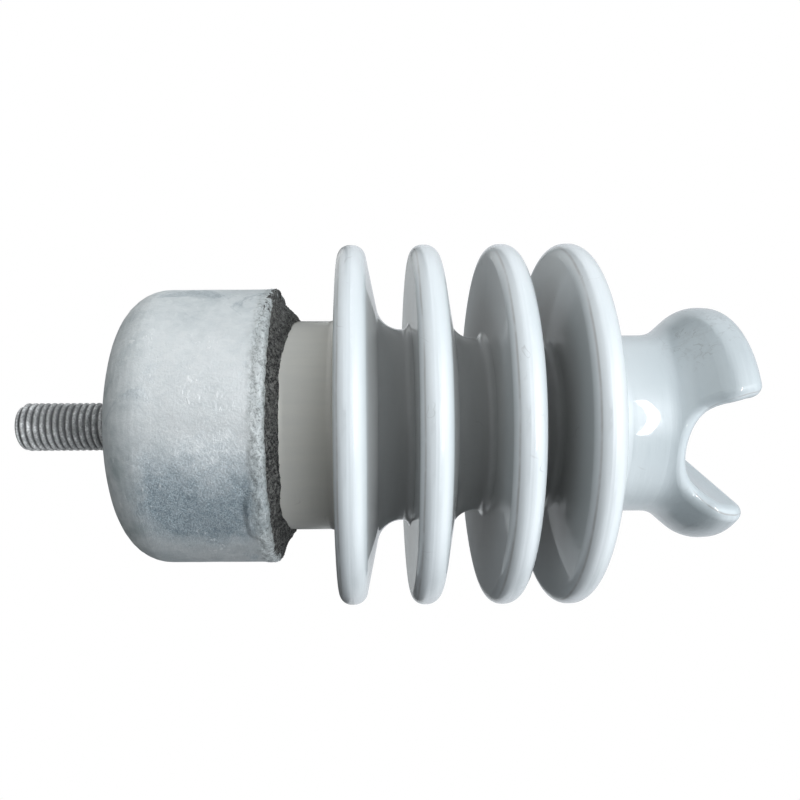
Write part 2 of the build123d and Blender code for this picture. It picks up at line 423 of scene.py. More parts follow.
def build_strokes(name):
    """Short parallel strokes in clusters, as a wire brush or a knock leaves them."""
    inputs = {"Scale": 900.0, "Cover": 0.55, "Seed": 0.0}
    graph, source, sink, place = mask_tree(name, inputs)
    slanted = graph.node("ShaderNodeMapping", {"Vector": place} | STROKE_TURN).outputs[0]
    drawn = graph.noise(slanted, source["Scale"], 2.0, 0.5, 0.5, source["Seed"])
    strokes = graph.remap(drawn, 0.56, 0.66)
    slow = graph.math("MULTIPLY", source["Scale"], 0.07)
    spread = graph.noise(place, slow, 3.0, 0.6, 0.0, source["Seed"])
    clusters = graph.remap(spread, source["Cover"], graph.math("ADD", source["Cover"], 0.10))
    return connect(graph, sink, graph.math("MULTIPLY", strokes, clusters))


PATTERNS = {
    "Ragged Patch": build_ragged_patch,
    "Speckle": build_speckle,
    "Turning Marks": build_turning_marks,
    "Edge Line": build_edge_line,
    "Hairlines": build_hairlines,
    "Short Strokes": build_strokes,
}


def pattern(graph, name, **inputs):
    """Mask of the pattern of that name."""
    return graph.group(shared_group(name, PATTERNS[name]), **inputs)[0]


# ---- Materials -----------------------------------------------------------------------------------


def new_material(name):
    """A material with one Principled shader; returns it, its graph and the shader."""
    material = bpy.data.materials.new(name)
    material.use_nodes = True
    material.node_tree.nodes.clear()
    graph = Graph(material.node_tree)
    shader = graph.node("ShaderNodeBsdfPrincipled")
    output = graph.node("ShaderNodeOutputMaterial")
    material.node_tree.links.new(shader.outputs[0], output.inputs["Surface"])
    return material, graph, shader


def finish(graph, shader, **values):
    """Sets or feeds the inputs of the shader by name."""
    for name, value in values.items():
        socket = shader.inputs[name.replace("_", " ").title()]
        if isinstance(value, bpy.types.NodeSocket):
            graph.tree.links.new(value, socket)
        else:
            socket.default_value = value


def bump(graph, height, distance, strength=1.0, normal=None):
    """A bump of that height in metres."""
    inputs = {"Height": height, "Distance": distance, "Strength": strength}
    if normal is not None:
        inputs["Normal"] = normal
    return graph.node("ShaderNodeBump", inputs).outputs[0]


def mouth_line(graph, sizes):
    """Mask of the thin line where the rounded mouth of the groove meets the outside of the head."""
    place = graph.object_place()
    x = graph.split(place)[0]
    _, radius, z = graph.about_axis(place)
    rise = graph.math("SUBTRACT", z, sizes.groove_floor + sizes.groove_radius)
    drop = graph.math("MINIMUM", rise, 0.0)
    square = graph.math("MULTIPLY", drop, drop)
    wall = graph.math("SQRT", graph.math("SUBTRACT", sizes.groove_radius**2, square))
    wall = graph.math("MULTIPLY_ADD", graph.math("MAXIMUM", rise, 0.0), sizes.groove_lean, wall)
    past = graph.math("SUBTRACT", graph.math("ABSOLUTE", x), wall)
    past = graph.math("ABSOLUTE", graph.math("SUBTRACT", past, sizes.groove_mouth))
    line = graph.remap(past, 0.0, sizes.drip_width, 1.0, 0.0)
    outside = graph.remap(radius, 35 * MM, 38 * MM)
    above = graph.remap(z, sizes.groove_floor + 1 * MM, sizes.groove_floor + 4 * MM)
    fade = graph.remap(graph.noise(place, 130.0, 3.0), 0.3, 0.6, 0.1, 0.45)
    line = graph.math("MULTIPLY", line, fade)
    return graph.math("MULTIPLY", line, graph.math("MULTIPLY", outside, above))


def glaze_material(sizes):
    """Pale blue-grey glaze, glossy, with brown drip lines and a satin warm neck at the foot."""
    material, graph, shader = new_material("grey_glaze_finish")
    place = graph.object_place()
    _, radius, z = graph.about_axis(place)

    cloud = graph.remap(graph.noise(place, 38.0, 4.0, 0.55), 0.35, 0.7)
    turned = pattern(graph, "Turning Marks", rings=260.0, wander=1.2, low=0.42, high=0.68)
    thin = graph.math("MULTIPLY", graph.math("MULTIPLY", cloud, turned), 0.45)
    tone = graph.blend(thin, sizes.body, sizes.thin)

    first_shed = SEAL_HIGH.z + sizes.lower_neck
    below = graph.remap(z, first_shed - 0.5 * MM, first_shed + 1.5 * MM, 1.0, 0.0)
    # Painted shade: below the last shed, the waist between the sheds takes the darker core tone.
    waist = graph.remap(radius, 38 * MM, 60 * MM, 1.0, 0.0)
    last_shed = first_shed + SHED_RISES[-1]
    below_last = graph.remap(z, last_shed, last_shed + 2 * MM, 1.0, 0.0)
    tone = graph.blend(graph.math("MULTIPLY", waist, below_last), tone, sizes.core)
    # Bands of the shed rims, for painted light, and of the upper faces between the sheds, for
    # painted shade.
    between = edges = 0.0
    for lower, upper in zip(SHED_RISES, (*SHED_RISES[1:], None)):
        low = first_shed + lower
        # Band over each shed rim, which takes painted light.
        rim_light_band = graph.band(z, low - 1 * MM, low + 1 * MM, low + 4 * MM, low + 10 * MM)
        edges = graph.math("ADD", rim_light_band, edges)
        if upper is not None:
            ceiling = first_shed + upper
            gap = graph.band(z, low + 9 * MM, low + 12 * MM, ceiling - 3 * MM, ceiling - 0.5 * MM)
            between = graph.math("ADD", gap, between)
    # Painted shade on the upper faces between the sheds, fading out towards the rims.
    upper_face_shade_mask = graph.math("MULTIPLY", between, graph.remap(radius, 62 * MM, 66.5 * MM, 1.0, 0.0))
    tone = graph.wash(tone, upper_face_shade_mask, 0.85, sizes.upper_face_shade)
    # Painted light: the rims of the sheds are washed paler so that they read brighter.
    edges = graph.math("MULTIPLY", edges, graph.remap(radius, 64 * MM, 67 * MM))
    tone = graph.wash(tone, edges, 0.60, sizes.edge)
    # Painted shade: the head above the last shed is washed towards the darker thin tone.
    head = graph.remap(z, last_shed + 14 * MM, last_shed + 40 * MM)
    tone = graph.wash(tone, head, 0.8, sizes.thin)
    inside = graph.remap(radius, 44 * MM, 52 * MM, 1.0, 0.0)
    neck = graph.math("MULTIPLY", below, inside)
    streak = graph.noise(graph.vector("MULTIPLY", place, (1.0, 1.0, 0.16)), 260.0, 4.0, 0.6)
    grime = graph.remap(streak, 0.35, 0.68, 0.88, 1.0)
    tone = graph.blend(graph.math("MULTIPLY", neck, grime), tone, sizes.warm)

    lines = None
    heights = [first_shed + rise + sizes.drip_rise for rise in SHED_RISES]
    for height in heights:
        line = pattern(graph, "Edge Line", height=height, radius=62 * MM, width=sizes.drip_width)
        lines = line if lines is None else graph.math("MAXIMUM", lines, line)
    lines = graph.math("MAXIMUM", graph.math("MULTIPLY", lines, 0.34), mouth_line(graph, sizes))
    tone = graph.blend(lines, tone, sizes.line)

    pits = pattern(graph, "Speckle", scale=620.0, low=0.735, high=0.78, seed=3.0)
    tone = graph.wash(tone, pits, 0.5, sizes.pit)

    rub = pattern(
        graph, "Ragged Patch", centre=RUB_CENTRE, reach=(0.012, 0.012, 0.014), softness=0.5,
        raggedness=1.6, scale=140.0,
    )
    scribble = pattern(graph, "Hairlines", scale=150.0, width=0.03, cover=0.46, seed=2.0)
    smear = graph.remap(graph.noise(place, 330.0, 5.0, 0.7, 0.6), 0.46, 0.66)
    marks = graph.math("MAXIMUM", scribble, graph.math("MULTIPLY", smear, 0.5))
    rub = graph.math("MULTIPLY", rub, marks)
    tone = graph.wash(tone, rub, 0.38, sizes.rub)
    scrape = pattern(graph, "Hairlines", scale=46.0, width=0.010, cover=0.60, seed=6.0)
    tone = graph.wash(tone, scrape, 0.28, sizes.scrape)

    rough = graph.slide(neck, sizes.roughness, 0.40)
    rough = graph.math("ADD", rough, graph.math("MULTIPLY", rub, 0.22))
    rough = graph.math("ADD", rough, graph.math("MULTIPLY", thin, 0.10))

    wave = graph.noise(place, 55.0, 2.0, 0.4)
    peel = graph.noise(place, 420.0, 2.0, 0.5)
    normal = bump(graph, wave, 0.9 * MM, 0.45)
    normal = bump(graph, peel, 0.05 * MM, 0.5, normal)
    normal = bump(graph, turned, 0.06 * MM, 0.5, normal)
    finish(
        graph, shader, base_color=tone, roughness=rough, normal=normal, coat_weight=0.9,
        coat_roughness=0.03,
    )
    return material


def zinc_material(sizes):
    """Hot-dip zinc on cast iron: scuffed bright faces with a painted highlight, spangle, dull
    blue-grey patches, dross.
    """
    material, graph, shader = new_material("galvanised_iron_finish")
    place = graph.object_place()
    z = graph.split(place)[2]

    mottle = graph.remap(graph.noise(place, 75.0, 6.0, 0.66, 0.6), 0.38, 0.64)
    fine = pattern(graph, "Speckle", scale=1250.0, low=0.42, high=0.60, seed=1.0)
    grit = pattern(graph, "Speckle", scale=1900.0, low=0.40, high=0.62, seed=15.0)
    crystal = graph.node(
        "ShaderNodeTexVoronoi", {"Vector": place, "Scale": 430.0, "Randomness": 1.0}
    ).outputs["Color"]
    crystal = graph.node("ShaderNodeRGBToBW", {0: crystal}).outputs[0]

    tone = graph.wash(sizes.zinc, mottle, 0.42, sizes.mottle)
    stain = graph.remap(graph.noise(place, 34.0, 5.0, 0.6, 0.4, 12.0), 0.50, 0.68)
    tone = graph.wash(tone, stain, 0.40, sizes.stain)
    dull = pattern(
        graph, "Ragged Patch", centre=DULL_CENTRE, reach=(0.0205, 0.0205, 0.0235), softness=0.30,
        raggedness=1.1, scale=70.0,
    )
    spots = graph.remap(graph.noise(place, 52.0, 5.0, 0.62, 0.8, seed=7.0), 0.55, 0.64)
    dull = graph.math("MAXIMUM", dull, graph.math("MULTIPLY", spots, 0.5))
    cloudy = graph.remap(graph.noise(place, 150.0, 4.0, 0.6, 0.3, 21.0), 0.36, 0.64)
    spangle = graph.blend(grit, sizes.dull, sizes.dull_grain)
    spangle = graph.wash(spangle, cloudy, 0.55, sizes.dull_cloud)
    tone = graph.wash(tone, dull, 0.90, spangle)
    grey = graph.blend(crystal, sizes.crystal_dark, sizes.crystal_light)
    tone = graph.blend(0.14, tone, grey)
    tone = graph.wash(tone, fine, 0.10, sizes.sparkle)

    # Scuffed zinc with a painted highlight: a bright wiped patch on the middle of the cap towards
    # the viewer.
    bright = pattern(
        graph, "Ragged Patch", centre=SCUFF_HIGHLIGHT_CENTRE, reach=(0.028, 0.028, 0.024), softness=0.45,
        raggedness=0.8, scale=70.0,
    )
    wiped = graph.noise(graph.vector("MULTIPLY", place, (1.0, 1.0, 0.55)), 330.0, 6.0, 0.7, 0.8)
    wiped = graph.remap(wiped, 0.40, 0.64)
    scuff_and_highlight = graph.math("MULTIPLY", bright, graph.slide(wiped, 0.55, 0.95))
    tone = graph.blend(scuff_and_highlight, tone, sizes.wiped)
    pale = pattern(graph, "Hairlines", scale=120.0, width=0.030, cover=0.60, seed=1.0)
    strokes = pattern(graph, "Short Strokes", scale=900.0, cover=0.56, seed=3.0)
    pale = graph.math("MAXIMUM", graph.math("MULTIPLY", pale, 0.5), strokes)
    tone = graph.wash(tone, pale, 0.60, sizes.pale_stroke)
    deep = pattern(graph, "Short Strokes", scale=1100.0, cover=0.60, seed=8.0)
    tone = graph.wash(tone, deep, 0.45, sizes.deep_stroke)

    rim_low = CAP_HIGH.z - sizes.dross_depth
    rim = graph.remap(z, rim_low, rim_low + 4 * MM)
    tone = graph.wash(tone, rim, 0.45, sizes.rim)
    lumps = graph.noise(place, 700.0, 5.0, 0.70, 1.2, seed=2.0)
    hollow = graph.math("MULTIPLY", rim, graph.remap(lumps, 0.53, 0.38))
    tone = graph.wash(tone, hollow, 0.66, sizes.hollow)
    crest = graph.math("MULTIPLY", rim, graph.remap(lumps, 0.52, 0.66))
    tone = graph.wash(tone, crest, 0.45, sizes.crest)

    foot = graph.remap(z, 0.002, 0.020, 1.0, 0.0)
    shade = graph.math("MULTIPLY", foot, graph.remap(stain, 0.0, 0.9, 0.02, 0.60))
    tone = graph.blend(shade, tone, sizes.foot)

    rough = graph.slide(dull, 0.42, 0.62)
    uneven = graph.math("SUBTRACT", fine, 0.5)
    rough = graph.math("ADD", rough, graph.math("MULTIPLY", uneven, 0.12))
    rough = graph.math("ADD", rough, graph.math("MULTIPLY", rim, 0.16))
    metal = graph.slide(graph.math("MAXIMUM", dull, rim), 0.55, 0.30)
    wave = graph.noise(place, 130.0, 4.0, 0.55)
    normal = bump(graph, wave, 0.5 * MM, 0.35)
    normal = bump(graph, fine, 0.16 * MM, graph.slide(dull, 0.18, 0.40), normal)
    normal = bump(graph, wiped, 0.10 * MM, 0.3, normal)
    normal = bump(graph, lumps, 0.6 * MM, graph.math("MULTIPLY", rim, 0.6), normal)
    normal = bump(graph, graph.math("SUBTRACT", pale, deep), 0.10 * MM, 0.5, normal)
    turned = pattern(graph, "Turning Marks", rings=1100.0, wander=4.0, low=0.4, high=0.65)
    normal = bump(graph, turned, 0.03 * MM, 0.3, normal)
    finish(graph, shader, base_color=tone, roughness=rough, metallic=metal, normal=normal)
    return material


def coat_material(sizes):
    """Dark sanded coat over the cement, black in its hollows and grey on its grains."""
    material, graph, shader = new_material("seal_coat_finish")
    place = graph.object_place()
    grain = graph.node("ShaderNodeAttribute", attribute_name="grain").outputs["Fac"]
    coarse = pattern(graph, "Speckle", scale=620.0, low=0.46, high=0.60, seed=5.0)
    fine = pattern(graph, "Speckle", scale=1500.0, low=0.42, high=0.62, seed=6.0)
    mixed = graph.math("MULTIPLY", graph.math("ADD", coarse, fine), 0.50)
    mixed = graph.math("MAXIMUM", mixed, graph.math("POWER", grain, 3.0))
    ashen = graph.remap(graph.noise(place, 60.0, 4.0, 0.6), 0.48, 0.66)
    tone = graph.blend(mixed, sizes.dark, sizes.light)
    tone = graph.wash(tone, ashen, 0.30, sizes.ash)
    normal = bump(graph, coarse, 0.5 * MM, 0.7)
    normal = bump(graph, fine, 0.2 * MM, 0.8, normal)
    finish(graph, shader, base_color=tone, roughness=0.72, normal=normal)
    return material


def stud_material(sizes):
    """Rough galvanised thread, lighter on its worn crests and nearly black in its roots."""
    material, graph, shader = new_material("galvanised_stud_finish")
    place = graph.object_place()
    root = graph.node("ShaderNodeAttribute", attribute_name="thread_root").outputs["Fac"]
    grain = pattern(graph, "Speckle", scale=1300.0, low=0.36, high=0.66, seed=8.0)
    cloud = graph.remap(graph.noise(place, 210.0, 5.0, 0.6), 0.36, 0.62)
    tone = graph.wash(sizes.steel, cloud, 0.6, sizes.cloud)
    tone = graph.wash(tone, grain, 0.45, sizes.grain)
    worn = pattern(
        graph, "Ragged Patch", centre=WORN_CENTRE, reach=(0.006, 0.006, 0.006), softness=0.5,
        raggedness=1.2, scale=300.0,
    )
    tone = graph.wash(tone, worn, 0.55, sizes.worn)
    shadow = graph.remap(root, 0.35, 1.0, 0.0, 0.85)
    tone = graph.blend(shadow, tone, sizes.hollow)
    normal = bump(graph, grain, 0.18 * MM, 0.7)
    rough = graph.slide(grain, 0.50, 0.68)
    finish(graph, shader, base_color=tone, roughness=rough, metallic=0.45, normal=normal)
    return material


def grainy_material(name, dark, light, scale, roughness, depth):
    """A plain inner finish with grain: fired grit, cork, cement or bitumen."""
    material, graph, shader = new_material(name)
    place = graph.object_place()
    grain = pattern(graph, "Speckle", scale=scale, low=0.35, high=0.68, seed=4.0)
    cloud = graph.remap(graph.noise(place, 45.0, 4.0, 0.55), 0.35, 0.65, 0.6, 1.0)
    tone = graph.blend(graph.math("MULTIPLY", grain, cloud), (*dark, 1.0), (*light, 1.0))
    finish(
        graph, shader, base_color=tone, roughness=graph.slide(grain, roughness, roughness + 0.12),
        normal=bump(graph, grain, depth, 0.7),
    )
    return material


def dress(node, material):
    """Gives a CAD piece its finish."""
    piece = bpy.data.objects[node]
    piece.data.materials.clear()
    piece.data.materials.append(material)


# ---- Geometry trees ------------------------------------------------------------------------------


def build_turned_form(name):
    """Turns an outline in the XZ plane about the Z axis; Skin Rows of the rows cover Skin Share."""
    inputs = {
        "Outline": "NodeSocketGeometry", "Around": 64, "Rows": 64, "Skin share": 0.5,
        "Skin rows": 0.5,
    }
    graph, source, sink = new_tree(
        name, "GeometryNodeTree", inputs, "Mesh", "NodeSocketGeometry"
    )
    columns = graph.math("ADD", source["Around"], 1.0)
    grid = graph.node(
        "GeometryNodeMeshGrid",
        {"Size X": 1.0, "Size Y": 1.0, "Vertices X": columns, "Vertices Y": source["Rows"]},
    ).outputs
    turn, climb, _ = graph.split(grid["UV Map"])
    skin = graph.remap(climb, 0.0, source["Skin rows"], 0.0, source["Skin share"], smooth=False)
    rest = graph.math("SUBTRACT", 1.0, source["Skin share"])
    lining = graph.remap(climb, source["Skin rows"], 1.0, 0.0, rest, smooth=False)
    climb = graph.math("ADD", skin, lining)
    filleted = graph.node(
        "GeometryNodeFilletCurve",
        {
            "Curve": graph.node("GeometryNodeMeshToCurve", {0: source["Outline"]}).outputs[0],
            "Radius": graph.node(
                "GeometryNodeInputNamedAttribute", {"Name": "rounding"}, data_type="FLOAT"
            ).outputs[0],
            "Limit Radius": True,
            "Count": 10,
        },
        mode="POLY",
    ).outputs[0]
    sample = graph.node(
        "GeometryNodeSampleCurve", {"Curves": filleted, "Factor": climb}, mode="FACTOR"
    ).outputs["Position"]
    reach, _, height = graph.split(sample)
    angle = graph.math("MULTIPLY", turn, tau)
    place = graph.combine(
        graph.math("MULTIPLY", reach, graph.math("COSINE", angle)),
        graph.math("MULTIPLY", reach, graph.math("SINE", angle)),
        height,
    )
    moved = graph.node("GeometryNodeSetPosition", {"Geometry": grid["Mesh"], "Position": place})
    closed = graph.node(
        "GeometryNodeMergeByDistance", {"Geometry": moved.outputs[0], "Distance": 0.004 * MM}
    )
    return connect(graph, sink, closed.outputs[0])


def turned_outline(graph, source, **inputs):
    """The mesh of the outline turned about the axis."""
    form = shared_group("Turned Form", build_turned_form)
    return graph.group(
        form, outline=source["Geometry"], around=source["Around"], rows=source["Rows"], **inputs
    )[0]


def displaced(graph, geometry, height):
    """Moves the surface along its normals."""
    normal = graph.node("GeometryNodeInputNormal").outputs[0]
    offset = graph.vector("SCALE", normal, Scale=height)
    inputs = {"Geometry": geometry, "Offset": offset}
    return graph.node("GeometryNodeSetPosition", inputs).outputs[0]


def last_nodes(graph, sink, geometry, material):
    """Smooth shading, realised instances and the material, in that order."""
    smooth = graph.node("GeometryNodeSetShadeSmooth", {"Geometry": geometry}).outputs[0]
    real = graph.node("GeometryNodeRealizeInstances", {"Geometry": smooth}).outputs[0]
    painted = graph.node("GeometryNodeSetMaterial", {"Geometry": real, "Material": material})
    return connect(graph, sink, painted.outputs[0])


CAP_SKIN_ROWS = 0.86  # share of the mesh rows that goes to the outside of the cap


def cap_tree():
    """Cast cup: slow casting waves, a lumpy zinc skin, dross at the rim and runs of zinc."""
    inputs = {
        "Skin share": 0.5, "Casting": 0.0, "Skin": 0.0, "Dross": 0.0, "Dross depth": 0.0,
        "Rim": 0.0, "Bore": 0.0,
    }
    graph, source, sink = shape_tree("Galvanised Cap", inputs)
    mesh = turned_outline(graph, source, skin_share=source["Skin share"], skin_rows=CAP_SKIN_ROWS)
    place = graph.node("GeometryNodeInputPosition").outputs[0]
    _, radius, z = graph.about_axis(place)
    outer = graph.remap(radius, source["Bore"], graph.math("ADD", source["Bore"], 1.2 * MM))
    seat = graph.remap(z, 0.2 * MM, 3.0 * MM)
    outer = graph.math("MULTIPLY", outer, seat)

    waves = graph.math("SUBTRACT", graph.noise(place, 34.0, 2.0, 0.5), 0.5)
    skin = graph.math("SUBTRACT", graph.noise(place, 300.0, 4.0, 0.6), 0.5)
    height = graph.math("MULTIPLY", waves, source["Casting"])
    height = graph.math("MULTIPLY_ADD", skin, source["Skin"], height)

    dross_low = graph.math("SUBTRACT", source["Rim"], source["Dross depth"])
    ragged = graph.math("SUBTRACT", graph.noise(place, 120.0, 3.0), 0.5)
    level = graph.math("ADD", z, graph.math("MULTIPLY", ragged, 7 * MM))
    at_rim = graph.remap(level, dross_low, graph.math("ADD", dross_low, 3.5 * MM))
    lumps = graph.remap(graph.noise(place, 330.0, 4.0, 0.62, 0.9), 0.36, 0.68, -0.2, 1.0)
    dross = graph.math("MULTIPLY", lumps, at_rim)
    height = graph.math("MULTIPLY_ADD", dross, source["Dross"], height)

    for centre, reach, rise in ZINC_RUNS:
        away = graph.vector("DIVIDE", graph.vector("SUBTRACT", place, centre), reach)
        ripple = graph.math("SUBTRACT", graph.noise(place, 150.0), 0.5)
        ripple = graph.math("MULTIPLY", ripple, 0.7)
        away = graph.math("ADD", graph.vector("LENGTH", away), ripple)
        height = graph.math("ADD", height, graph.remap(away, 0.55, 1.0, rise, 0.0))
    mesh = displaced(graph, mesh, graph.math("MULTIPLY", height, outer))
    return last_nodes(graph, sink, mesh, source["Material"])


def swells(graph, spoke, places):
    """Height of the swells that face given sides."""
    height = 0.0
    for side, low, high, rise in places:
        facing = graph.remap(graph.vector("DOT_PRODUCT", spoke, side), low, high, 0.0, rise)
        height = graph.math("ADD", facing, height)
    return height


def seal_tree():
    """Lumpy ring of coated cement with sand grains standing out of it."""
    inputs = {
        "Lumps": 0.0, "Grit": 0.0, "Grain": 0.0, "Grains": 0.0, "Neck": 0.04, "Edge": 0.05,
        "Seed": 11,
    }
    graph, source, sink = shape_tree("Sealed Joint", inputs)
    ring = turned_outline(graph, source)
    place = graph.node("GeometryNodeInputPosition").outputs[0]
    normal = graph.node("GeometryNodeInputNormal").outputs[0]
    spoke, radius, _ = graph.about_axis(place)
    near_neck = graph.remap(radius, source["Edge"], source["Neck"])
    spoke = graph.vector("NORMALIZE", spoke)
    lift = swells(graph, spoke, COLLAR_SWELLS)
    slow = graph.math("SUBTRACT", graph.noise(place, 42.0, 2.0), 0.5)
    lift = graph.math("MULTIPLY_ADD", slow, 2.2 * MM, lift)
    lift = graph.combine(0.0, 0.0, graph.math("MULTIPLY", lift, near_neck))
    ring = graph.node("GeometryNodeSetPosition", {"Geometry": ring, "Offset": lift}).outputs[0]
    cover = swells(graph, spoke, EDGE_SWELLS)
    cover = graph.math("MULTIPLY", cover, graph.math("SUBTRACT", 1.0, near_neck))
    open_side = graph.remap(graph.split(normal)[2], -0.2, 0.3)
    lumps = graph.math("SUBTRACT", graph.noise(place, 140.0, 3.0, 0.55, 0.4), 0.5)
    grit = graph.math("SUBTRACT", graph.noise(place, 620.0, 4.0, 0.65), 0.5)
    height = graph.math("MULTIPLY", lumps, source["Lumps"])
    height = graph.math("MULTIPLY_ADD", grit, source["Grit"], height)
    height = graph.math("MULTIPLY", graph.math("MULTIPLY_ADD", height, 2.0, cover), open_side)
    ring = displaced(graph, ring, height)

    points = graph.node(
        "GeometryNodeDistributePointsOnFaces",
        {
            "Mesh": ring, "Selection": graph.math("GREATER_THAN", graph.split(normal)[2], 0.3),
            "Density": source["Grains"], "Seed": source["Seed"],
        },
        distribute_method="RANDOM",
    ).outputs[0]
    size = graph.node(
        "FunctionNodeRandomValue", {"Min": 0.25, "Max": 1.0, "Seed": source["Seed"]},
        data_type="FLOAT",
    )
    spin = graph.node(
        "FunctionNodeRandomValue",
        {0: (0.0, 0.0, 0.0), 1: (tau, tau, tau), "Seed": source["Seed"]}, data_type="FLOAT_VECTOR",
    )
    stone = graph.node("GeometryNodeMeshIcoSphere", {"Radius": 1.0, "Subdivisions": 1}).outputs[0]
    stone = graph.node("GeometryNodeTransform", {"Geometry": stone, "Scale": (1.0, 0.8, 0.62)})
    scale = graph.math("MULTIPLY", size.outputs[1], graph.math("MULTIPLY", source["Grain"], 0.5))
    stones = graph.node(
        "GeometryNodeInstanceOnPoints",
        {
            "Points": points, "Instance": stone.outputs[0], "Rotation": spin.outputs[0],
            "Scale": scale,
        },
    ).outputs[0]
    tint = graph.node(
        "FunctionNodeRandomValue", {2: 0.15, 3: 1.0, "Seed": 5}, data_type="FLOAT"
    ).outputs[1]
    stones = graph.node(
        "GeometryNodeStoreNamedAttribute",
        {"Geometry": stones, "Name": "grain", "Value": tint}, data_type="FLOAT", domain="INSTANCE",
    ).outputs[0]
    joined = graph.node("GeometryNodeJoinGeometry")
    for part in (stones, ring):
        graph.tree.links.new(part, joined.inputs[0])
    return last_nodes(graph, sink, joined.outputs[0], source["Material"])


def cement_tree():
    """Plain turned ring."""
    graph, source, sink = shape_tree("Cement Ring", {})
    return last_nodes(graph, sink, turned_outline(graph, source), source["Material"])


def stud_tree():
    """Right-hand thread cut into a turned rod, its depth kept as an attribute for the finish."""
    inputs = {"Pitch": 2.54 * MM, "Depth": 1 * MM, "Radius": 9.5 * MM}
    graph, source, sink = shape_tree("Threaded Stud", inputs)
    rod = turned_outline(graph, source)
    place = graph.node("GeometryNodeInputPosition").outputs[0]
    x, y, _ = graph.split(place)
    spoke, radius, z = graph.about_axis(place)
    turn = graph.math("DIVIDE", graph.math("ARCTAN2", y, x), tau)
    phase = graph.math("SUBTRACT", graph.math("DIVIDE", z, source["Pitch"]), turn)
    wave = graph.math("ABSOLUTE", graph.math("MULTIPLY_ADD", graph.math("FRACT", phase), 2.0, -1.0))
    root = graph.remap(wave, 0.14, 0.90)
    reach = graph.math("POWER", graph.math("DIVIDE", radius, source["Radius"]), 3.0)
    cut = graph.math("MULTIPLY", graph.math("MULTIPLY", root, source["Depth"]), reach)
    dents = graph.math("SUBTRACT", graph.noise(place, 420.0, 4.0, 0.6), 0.5)
    cut = graph.math("MULTIPLY_ADD", dents, graph.math("MULTIPLY", reach, 0.18 * MM), cut)
    cut = graph.math("MAXIMUM", cut, 0.0)
    cut = graph.math("MULTIPLY", cut, -1.0)
    inward = graph.vector("SCALE", graph.vector("NORMALIZE", spoke), Scale=cut)
    marked = graph.node(
        "GeometryNodeStoreNamedAttribute",
        {"Geometry": rod, "Name": "thread_root", "Value": root}, data_type="FLOAT", domain="POINT",
    ).outputs[0]
    threaded = graph.node("GeometryNodeSetPosition", {"Geometry": marked, "Offset": inward})
    return last_nodes(graph, sink, threaded.outputs[0], source["Material"])


# ---- Pieces --------------------------------------------------------------------------------------


def outline_object(name, corners, closed):
    """An object whose mesh is the outline (radius, height, rounding) in the XZ plane."""
    mesh = bpy.data.meshes.new(name)
    edges = [(i, i + 1) for i in range(len(corners) - 1)]
    if closed:
        edges.append((len(corners) - 1, 0))
    mesh.from_pydata([(r, 0.0, z) for r, z, _ in corners], edges, [])
    rounding = mesh.attributes.new("rounding", "FLOAT", "POINT")
    for item, (_, _, value) in zip(rounding.data, corners):
        item.value = value
    piece = bpy.data.objects.new(name, mesh)
    bpy.context.scene.collection.objects.link(piece)
    return piece


def grown(piece, tree, **values):
    """Runs a geometry tree on the outline and keeps the result as a plain mesh."""
    modifier = piece.modifiers.new("shape", "NODES")
    modifier.node_group = tree
    items = tree.interface.items_tree
    sockets = {item.name: item.identifier for item in items if item.in_out == "INPUT"}
    for name, value in values.items():
        modifier[sockets[name.replace("_", " ").capitalize()]] = value
    depsgraph = bpy.context.evaluated_depsgraph_get()
    mesh = bpy.data.meshes.new_from_object(piece.evaluated_get(depsgraph))
    piece.modifiers.remove(modifier)
    piece.data = mesh
    if not mesh.polygons:
        raise RuntimeError(piece.name + " came out empty")
    return piece


class INSULATOR_OT_glazed_body(bpy.types.Operator):
    """Glaze the porcelain body"""

    bl_idname = "insulator.glazed_body"
    bl_label = "Glazed body"

    def execute(self, context):
        dress("porcelain_body", glaze_material(context.scene.insulator.glaze))
        return {"FINISHED"}


class INSULATOR_OT_inner_fittings(bpy.types.Operator):
    """Finish the grit, bitumen and cork inside the joint"""

    bl_idname = "insulator.inner_fittings"
    bl_label = "Inner fittings"

    def execute(self, context):
        bitumen = grainy_material(
            "bitumen_finish", (0.008, 0.008, 0.009), (0.03, 0.028, 0.026), 260.0, 0.34, 0.05 * MM
        )
        dress("grit_band", grainy_material(
            "fired_grit_finish", (0.22, 0.20, 0.17), (0.62, 0.60, 0.55), 1300.0, 0.62, 0.4 * MM
        ))
        dress("foot_coat", bitumen)
        dress("cap_coat", bitumen)
        dress("cushion_disc", grainy_material(
            "cork_finish", (0.16, 0.085, 0.04), (0.50, 0.33, 0.19), 700.0, 0.78, 0.2 * MM
        ))
        return {"FINISHED"}


